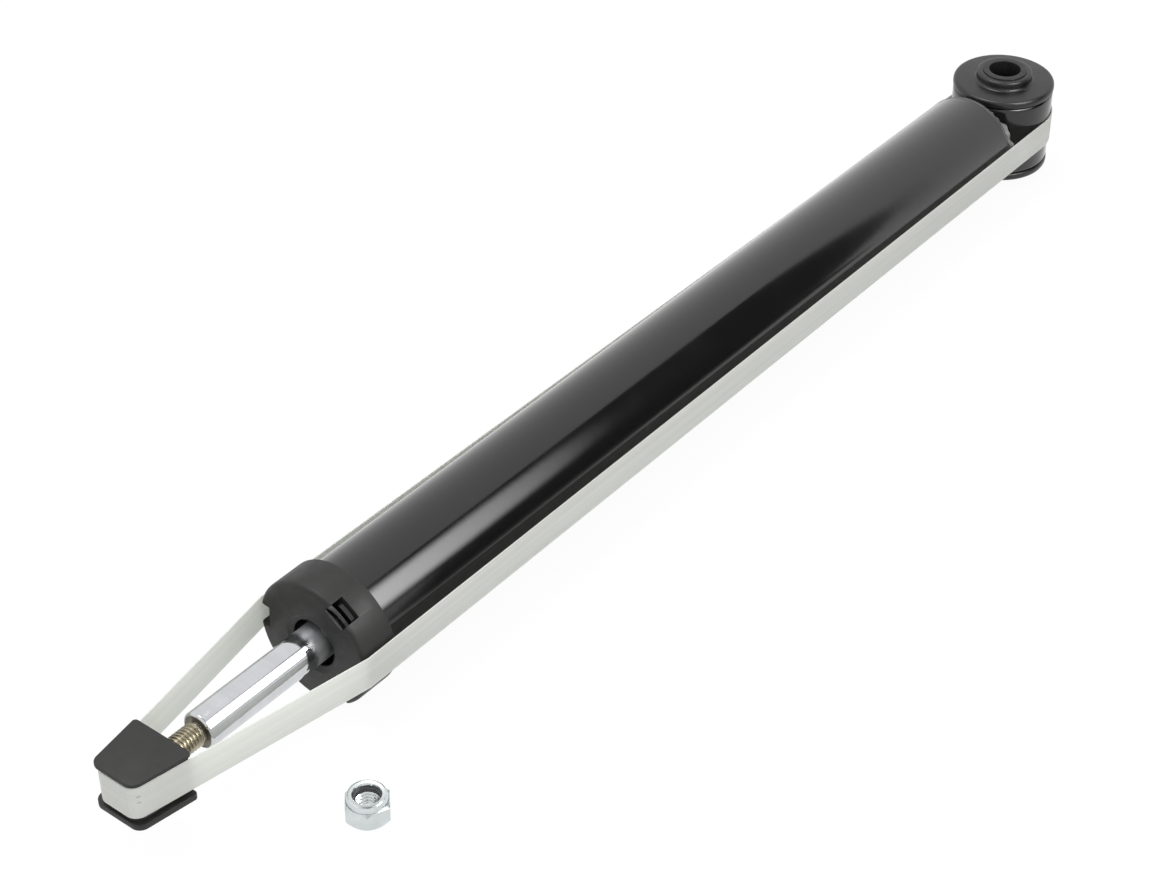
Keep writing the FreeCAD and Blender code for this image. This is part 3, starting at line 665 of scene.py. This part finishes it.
def makeStrap():
    s = strapSet
    half, edge = s["wide"] / 2, s["edge"]
    near, far = s["near"], s["far"]  # the band itself is thinner than its allowance
    section = [
        (near, -half + edge), (near + edge, -half), (far - edge, -half), (far, -half + edge), (far, 0),
        (far, half - edge), (far - edge, half), (near + edge, half), (near, half - edge), (near, 0),
    ]
    path = beltPath(strapCircles(), s["play"])
    verts = []
    for p, a in path:
        outward = Vector((math.cos(a), math.sin(a), 0))
        for out, z in section:
            v = p + outward * out
            verts.append((v.x, v.y, z + s["drop"] + v.x * s["tilt"]))
    strap = addPiece("transitStrap", verts, gridFaces(len(path), len(section), flipped=True), strapPlastic)
    settle(strap, None, "strap_plastic", "transit_strap")
    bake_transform(strap)


grooveMarkSet = dict(
    long=1.4 * mm, tall=0.4 * mm, proud=0.05 * mm, sunk=0.2 * mm, heights=(2.6 * mm, 0.3 * mm),
    turn=1.05, steps=6,
)


def makeGrooveMarks():
    # two small grooves across the strap at the shoe's corner, drawn as thin bars in darker grey: painted
    # shade for the grooves
    s = grooveMarkSet
    x, y, corner = strapCircles()[3]
    out = corner + strapSet["play"] + strapSet["far"]
    steps, n = s["steps"], s["steps"] + 1
    faces = [(0, n, 3 * n, 2 * n), (steps, 2 * n + steps, 3 * n + steps, n + steps)]
    for k in range(steps):
        a, b, c, d = k, k + n, k + 2 * n, k + 3 * n
        faces += [(a, a + 1, b + 1, b), (c, d, d + 1, c + 1), (a, c, c + 1, a + 1), (b, b + 1, d + 1, d)]
    for number, high in enumerate(s["heights"], 1):
        verts = []
        for r in (out - s["sunk"], out + s["proud"]):
            for z in (-s["tall"] / 2, s["tall"] / 2):
                for k in range(n):
                    a = s["turn"] + s["long"] / out * (k / steps - 0.5)
                    px, py = x + r * math.cos(a), y + r * math.sin(a)
                    verts.append((px, py, z + high + strapSet["drop"] + px * strapSet["tilt"]))
        settle(addPiece("strapSeal%d" % number, verts, faces, strapSeal), "rod", "strap_plastic")


# loose locking nut: chamfered hexagon, round collar, cut thread; groove, crown and lip are offsets in mm

nutSet = dict(
    flats=6.5 * mm, hexHigh=6.4 * mm, high=8.6 * mm, turn=42.5, chamfer=6.4 * mm,
    slope=math.tan(math.radians(32)), foot=math.tan(math.radians(45)), collar=6.15 * mm,
    groove=((0.1, -0.1), (0.25, 0.15), (0, 0.4)), crown=((0, 0.8), (0.25, 0.25), (0.75, 0)),
    mouth=4.3 * mm, lip=((0.2, 0.1), (0, 0.4)), seat=5.2 * mm, insertLow=5.6 * mm, insertTop=7.2 * mm,
    bore=3.4 * mm, cut=0.55 * mm, pitch=1.25 * mm, sinkWide=0.7 * mm, sinkHigh=0.6 * mm,
    rows=36, segments=144,
)


def nutOutline(theta):
    s = nutSet
    sector = (theta + math.pi / 6) % (math.pi / 3) - math.pi / 6
    wide = s["flats"] / math.cos(math.pi / 6 - abs(sector))
    near = min(wide, s["chamfer"])
    drop, foot = (max(0, wide - s["chamfer"]) * s[k] for k in ("slope", "foot"))
    top, rim, high, mouth, low = (s[k] for k in ("hexHigh", "collar", "high", "mouth", "insertLow"))
    outline = [(s["bore"] + s["sinkWide"], 0), (near, 0), (wide, foot), (wide, top - drop), (near, top)]
    outline += [(rim - a * mm, top + b * mm) for a, b in s["groove"]]
    outline += [(rim - a * mm, high - b * mm) for a, b in s["crown"]]
    outline += [(mouth + a * mm, high - b * mm) for a, b in s["lip"]]
    outline += [(mouth, s["insertTop"]), (s["seat"], s["insertTop"])]
    outline += [(s["seat"], low), (s["bore"] + s["cut"], low)]
    for k in range(s["rows"] + 1):  # the thread runs down the bore to its countersink
        z = low - hair - (low - s["sinkHigh"]) * k / s["rows"]
        outline.append((s["bore"] + s["cut"] * (1 - ridge(z / s["pitch"] + theta / (2 * math.pi))), z))
    return outline


def nutCentre():
    lo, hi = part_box("nut_insert")
    return (lo.x + hi.x) / 2, (lo.y + hi.y) / 2


def makeNut():
    segments, turn = nutSet["segments"], math.radians(nutSet["turn"])
    centre = Vector((*nutCentre(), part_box("lock_nut")[0].z))
    verts = []
    for i in range(segments):
        theta = 2 * math.pi * i / segments
        c, d = math.cos(theta + turn), math.sin(theta + turn)
        verts += [centre + Vector((r * c, r * d, z)) for r, z in nutOutline(theta)]
    faces = gridFaces(segments, len(verts) // segments, flipped=True)
    settle(addPiece("lockNut", verts, faces, zinc), "nut", "zinc_plate", "lock_nut")


makeTube()
makeEye()
makeWeld()
print("tube and eye made")
makeCap()
makeRod()
print("cap and rod made")
makeShoe()
makeStrap()
makeGrooveMarks()
makeNut()
print("shoe, strap and nut made")


# pale floor and studio light

stageSet = dict(floorHalf=6.0, floorColour=(0.93, 0.93, 0.93), whiteShare=0.95, worldLight=0.95)


def bareTree(name):
    # a material without its first shader
    material = bpy.data.materials.new(name)
    material.use_nodes = True
    tree = material.node_tree
    tree.nodes.remove(tree.nodes["Principled BSDF"])
    return material, tree


def flatSquare(x, y, z, half):
    return [(x + a * half, y + b * half, z) for a, b in ((-1, -1), (1, -1), (1, 1), (-1, 1))]


def seenByEye(tree):
    # 1 where the camera, a mirror or a clear piece looks at the background
    rays = tree.nodes.new("ShaderNodeLightPath").outputs
    mirrored = mathNode(tree, "MAXIMUM", rays["Is Camera Ray"], rays["Is Glossy Ray"])
    return mathNode(tree, "MAXIMUM", mirrored, rays["Is Transmission Ray"])


def makeFloor():
    material, tree = bareTree("paleFloor")
    flat = tree.nodes.new("ShaderNodeBsdfDiffuse")
    flat.inputs["Color"].default_value = (*stageSet["floorColour"], 1)
    white = tree.nodes.new("ShaderNodeEmission")
    share = mathNode(tree, "MULTIPLY", seenByEye(tree), stageSet["whiteShare"])
    mixSurface(tree, share, flat.outputs[0], white.outputs[0])
    corners = flatSquare(0, 0, cadBox[0].z, stageSet["floorHalf"])
    addPiece("floor", corners, [(0, 1, 2, 3)], material)


def makeWorld():
    world = bpy.data.worlds.new("studio")
    bpy.context.scene.world = world
    world.use_nodes = True
    tree = world.node_tree
    back = tree.nodes["Background"]
    back.inputs["Color"].default_value = (1, 1, 1, 1)
    level = rangeNode(tree, seenByEye(tree), (0, 1), (stageSet["worldLight"], 1))
    feed(tree, level, back.inputs["Strength"])


lamps = [
    dict(name="overhead", place=(0.26, -0.35, 1.22), aim=(0.2, 0, 0), size=0.6, watts=6.5, mirrored=True),
    dict(name="fill", place=(0.7, 1.1, 0.75), aim=(0.25, 0, 0), size=1.0, watts=5.0, mirrored=False),
    dict(name="back", place=(0.45, -1.1, 0.55), aim=(0.3, 0, 0), size=0.8, watts=8.0, mirrored=False),
]


def makeLamps():
    for s in lamps:
        data = bpy.data.lights.new(s["name"], "AREA")
        data.size = s["size"]
        data.energy = s["watts"]
        lamp = linkObject(s["name"], data)
        lamp.location = s["place"]
        lamp.rotation_euler = (Vector(s["aim"]) - Vector(s["place"])).to_track_quat("-Z", "Y").to_euler()
        lamp.visible_glossy = s["mirrored"]


def onlyMirrored(card):
    # a studio card that is met by reflections alone
    card.visible_camera = False
    card.visible_diffuse = False
    card.visible_transmission = False
    card.visible_shadow = False


# long softbox beside the tube: full at the rod end, fading towards the eye; low and high are (y, z)

sideBox = dict(
    eyeEnd=-0.235, rodEnd=0.25, low=(0.69, 0.24), high=(0.26, 0.72), peak=14.8, fade=(0.0, 1.0),
    softLow=0.3, softHigh=0.35,
)


def makeSideBox():
    s = sideBox
    material, tree = bareTree("softbox")
    split = tree.nodes.new("ShaderNodeSeparateXYZ")
    feed(tree, tree.nodes.new("ShaderNodeTexCoord").outputs["Generated"], split.inputs[0])
    total = rangeNode(tree, split.outputs["X"], s["fade"])
    for soft in ((0, s["softLow"]), (1, 1 - s["softHigh"])):
        edge = rangeNode(tree, split.outputs["Z"], soft, interpolation="SMOOTHSTEP")
        total = mathNode(tree, "MULTIPLY", total, edge)
    glow = tree.nodes.new("ShaderNodeEmission")
    feed(tree, mathNode(tree, "MULTIPLY", total, s["peak"]), glow.inputs["Strength"])
    feed(tree, glow.outputs[0], tree.nodes["Material Output"].inputs["Surface"])
    sides = (("eyeEnd", "low"), ("rodEnd", "low"), ("rodEnd", "high"), ("eyeEnd", "high"))
    corners = [(s[along], *s[level]) for along, level in sides]
    onlyMirrored(addPiece("sideBox", corners, [(0, 1, 2, 3)], material))


# dark cards: one folded behind the softbox down to the floor, for the dark band along the tube,
# and one over the nut

darkCards = dict(
    colour=(0.03, 0.03, 0.03), rough=0.9, nutHigh=0.5, nutHalf=0.15,
    band=[(-0.13, 0.22, -0.02), (0.25, 0.22, -0.02), (-0.9, 0.95, -0.02), (-0.1, 0.95, -0.02),
          (-0.9, 0.33, 1.0), (-0.1, 0.33, 1.0)],
)


def makeDarkCards():
    s = darkCards
    material = bpy.data.materials.new("darkCard")
    material.use_nodes = True
    shader = material.node_tree.nodes["Principled BSDF"]
    shader.inputs["Base Color"].default_value = (*s["colour"], 1)
    shader.inputs["Roughness"].default_value = s["rough"]
    onlyMirrored(addPiece("bandCard", s["band"], [(0, 1, 3, 2), (2, 3, 5, 4)], material))
    corners = flatSquare(*nutCentre(), s["nutHigh"], s["nutHalf"])
    onlyMirrored(addPiece("nutCard", corners, [(0, 1, 2, 3)], material))


# camera at the photograph's angle, on a picture 1152 wide

cameraSet = dict(
    target=(0.175, 0, 0), azimuth=34.35, elevation=34.74, distance=0.9232, yaw=-3.5, pitch=-3.055, roll=-0.27,
    focalPixels=2601.6, pictureWide=1152, sensor=36.0, clip=(0.01, 50),
)


def makeCamera():
    s = cameraSet
    az, el, yaw, pitch, roll = (math.radians(s[k]) for k in ("azimuth", "elevation", "yaw", "pitch", "roll"))
    away = Vector((math.cos(az) * math.cos(el), math.sin(az) * math.cos(el), math.sin(el)))
    up = Vector((0, 0, 1))
    look = -away
    right = look.cross(up).normalized()
    look = look + right * math.tan(yaw) + right.cross(look) * math.tan(pitch)
    look.normalize()
    right = look.cross(up).normalized()
    top = right.cross(look)
    c, d = math.cos(roll), math.sin(roll)
    right, top = right * c + top * d, top * c - right * d
    data = bpy.data.cameras.new("camera")
    data.sensor_fit = "HORIZONTAL"
    data.sensor_width = s["sensor"]
    data.lens = s["focalPixels"] / s["pictureWide"] * s["sensor"]
    data.clip_start, data.clip_end = s["clip"]
    camera = linkObject("camera", data)
    turn = Matrix((right, top, -look)).transposed().to_4x4()
    camera.matrix_world = Matrix.Translation(Vector(s["target"]) + away * s["distance"]) @ turn
    bpy.context.scene.camera = camera


makeFloor()
makeWorld()
makeLamps()
makeSideBox()
makeDarkCards()
makeCamera()
bpy.context.scene.view_settings.view_transform = "Standard"
print("stage, light and camera made")
